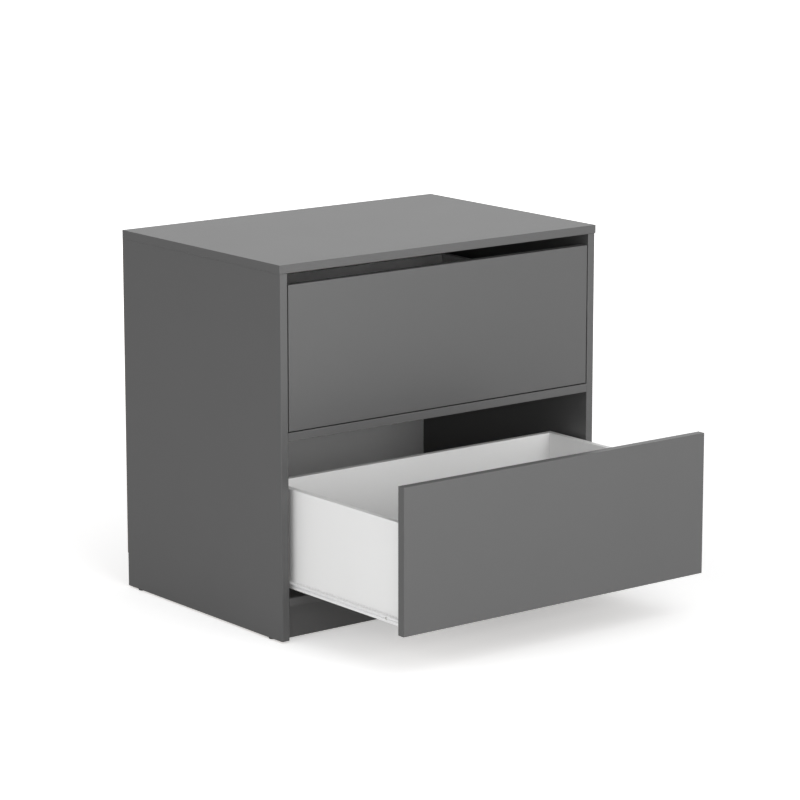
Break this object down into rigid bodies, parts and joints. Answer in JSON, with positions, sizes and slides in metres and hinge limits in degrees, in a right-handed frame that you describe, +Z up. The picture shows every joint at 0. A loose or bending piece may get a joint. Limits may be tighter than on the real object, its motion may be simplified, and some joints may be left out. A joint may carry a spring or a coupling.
{
  "type": "two-drawer nightstand",
  "caption": "Low, wide board cabinet with two stacked handleless drawers on roller runners, finger gaps above the fronts and a recessed plinth.",
  "frame": {"origin": "on the floor, midway between the sides, and midway between the back and the open lower drawer's front as the part stands", "axes": "+X to the right as seen from the front, +Y to the back, +Z up"},
  "size_m": [0.74, 0.8362, 0.6933],
  "materials": {
    "grey_melamine": "matte dark grey melamine on particle board",
    "white_foil": "satin white foil on particle board",
    "white_hardboard": "matte white lacquered hardboard",
    "white_enamel": "glossy white epoxy on bent sheet steel",
    "nylon": "natural white nylon",
    "black_plastic": "moulded black plastic",
    "zinc": "die-cast zinc, satin",
    "plated_steel": "zinc-plated steel",
    "beech": "plain fluted beech"
  },
  "bodies": {
    "carcass": {"top_panel": "grey_melamine", "left_side_panel": "grey_melamine", "right_side_panel": "grey_melamine", "bottom_shelf": "grey_melamine", "middle_rail": "grey_melamine", "plinth": "grey_melamine", "back_panel": "white_hardboard", "foot_glides": "black_plastic", "carcass_cam_locks": "zinc", "carcass_cam_bolts": "plated_steel", "carcass_dowels": "beech", "back_nails": "plated_steel", "cabinet_runner_screws": "plated_steel", "cabinet_roller_axles": "plated_steel", "upper_left_cabinet_runner": "white_enamel", "upper_right_cabinet_runner": "white_enamel", "lower_left_cabinet_runner": "white_enamel", "lower_right_cabinet_runner": "white_enamel"},
    "upper_drawer": {"upper_drawer_front": "grey_melamine", "upper_drawer_left_side": "white_foil", "upper_drawer_right_side": "white_foil", "upper_drawer_back": "white_foil", "upper_drawer_bottom": "white_hardboard", "upper_drawer_cam_locks": "zinc", "upper_drawer_cam_bolts": "plated_steel", "upper_drawer_dowels": "beech", "upper_drawer_corner_screws": "plated_steel", "upper_drawer_runner_screws": "plated_steel", "upper_drawer_roller_axles": "plated_steel", "upper_left_drawer_runner": "white_enamel", "upper_right_drawer_runner": "white_enamel"},
    "upper_left_cabinet_roller": {"upper_left_cabinet_roller": "nylon"},
    "upper_left_drawer_roller": {"upper_left_drawer_roller": "nylon"},
    "upper_right_cabinet_roller": {"upper_right_cabinet_roller": "nylon"},
    "upper_right_drawer_roller": {"upper_right_drawer_roller": "nylon"},
    "lower_drawer": {"lower_drawer_front": "grey_melamine", "lower_drawer_left_side": "white_foil", "lower_drawer_right_side": "white_foil", "lower_drawer_back": "white_foil", "lower_drawer_bottom": "white_hardboard", "lower_drawer_cam_locks": "zinc", "lower_drawer_cam_bolts": "plated_steel", "lower_drawer_dowels": "beech", "lower_drawer_corner_screws": "plated_steel", "lower_drawer_runner_screws": "plated_steel", "lower_drawer_roller_axles": "plated_steel", "lower_left_drawer_runner": "white_enamel", "lower_right_drawer_runner": "white_enamel"},
    "lower_left_cabinet_roller": {"lower_left_cabinet_roller": "nylon"},
    "lower_left_drawer_roller": {"lower_left_drawer_roller": "nylon"},
    "lower_right_cabinet_roller": {"lower_right_cabinet_roller": "nylon"},
    "lower_right_drawer_roller": {"lower_right_drawer_roller": "nylon"}
  },
  "joints": [
    {"name": "upper_drawer_slide", "type": "slide", "parent": "carcass", "child": "upper_drawer", "axis": [0, -1, 0], "range_m": [0, 0.342]},
    {"name": "upper_left_cabinet_roller_spin", "type": "hinge", "parent": "carcass", "child": "upper_left_cabinet_roller", "pos_m": [-0.3469, -0.05475, 0.4056], "axis": [1, 0, 0], "continuous": true},
    {"name": "upper_left_drawer_roller_spin", "type": "hinge", "parent": "upper_drawer", "child": "upper_left_drawer_roller", "pos_m": [-0.3463, 0.31925, 0.4034], "axis": [1, 0, 0], "continuous": true},
    {"name": "upper_right_cabinet_roller_spin", "type": "hinge", "parent": "carcass", "child": "upper_right_cabinet_roller", "pos_m": [0.3469, -0.05475, 0.4056], "axis": [1, 0, 0], "continuous": true},
    {"name": "upper_right_drawer_roller_spin", "type": "hinge", "parent": "upper_drawer", "child": "upper_right_drawer_roller", "pos_m": [0.3463, 0.31925, 0.4034], "axis": [1, 0, 0], "continuous": true},
    {"name": "lower_drawer_slide", "type": "slide", "parent": "carcass", "child": "lower_drawer", "axis": [0, -1, 0], "range_m": [-0.332, 0.01]},
    {"name": "lower_left_cabinet_roller_spin", "type": "hinge", "parent": "carcass", "child": "lower_left_cabinet_roller", "pos_m": [-0.3469, -0.05475, 0.1002], "axis": [1, 0, 0], "continuous": true},
    {"name": "lower_left_drawer_roller_spin", "type": "hinge", "parent": "lower_drawer", "child": "lower_left_drawer_roller", "pos_m": [-0.3463, -0.01275, 0.098], "axis": [1, 0, 0], "continuous": true},
    {"name": "lower_right_cabinet_roller_spin", "type": "hinge", "parent": "carcass", "child": "lower_right_cabinet_roller", "pos_m": [0.3469, -0.05475, 0.1002], "axis": [1, 0, 0], "continuous": true},
    {"name": "lower_right_drawer_roller_spin", "type": "hinge", "parent": "lower_drawer", "child": "lower_right_drawer_roller", "pos_m": [0.3463, -0.01275, 0.098], "axis": [1, 0, 0], "continuous": true}
  ],
  "couplings": [
    {"joint": "upper_left_cabinet_roller_spin", "follows": "upper_drawer_slide", "rad_per_m": 100},
    {"joint": "upper_left_drawer_roller_spin", "follows": "upper_drawer_slide", "rad_per_m": 100},
    {"joint": "upper_right_cabinet_roller_spin", "follows": "upper_drawer_slide", "rad_per_m": 100},
    {"joint": "upper_right_drawer_roller_spin", "follows": "upper_drawer_slide", "rad_per_m": 100},
    {"joint": "lower_left_cabinet_roller_spin", "follows": "lower_drawer_slide", "rad_per_m": 100},
    {"joint": "lower_left_drawer_roller_spin", "follows": "lower_drawer_slide", "rad_per_m": 100},
    {"joint": "lower_right_cabinet_roller_spin", "follows": "lower_drawer_slide", "rad_per_m": 100},
    {"joint": "lower_right_drawer_roller_spin", "follows": "lower_drawer_slide", "rad_per_m": 100}
  ]
}
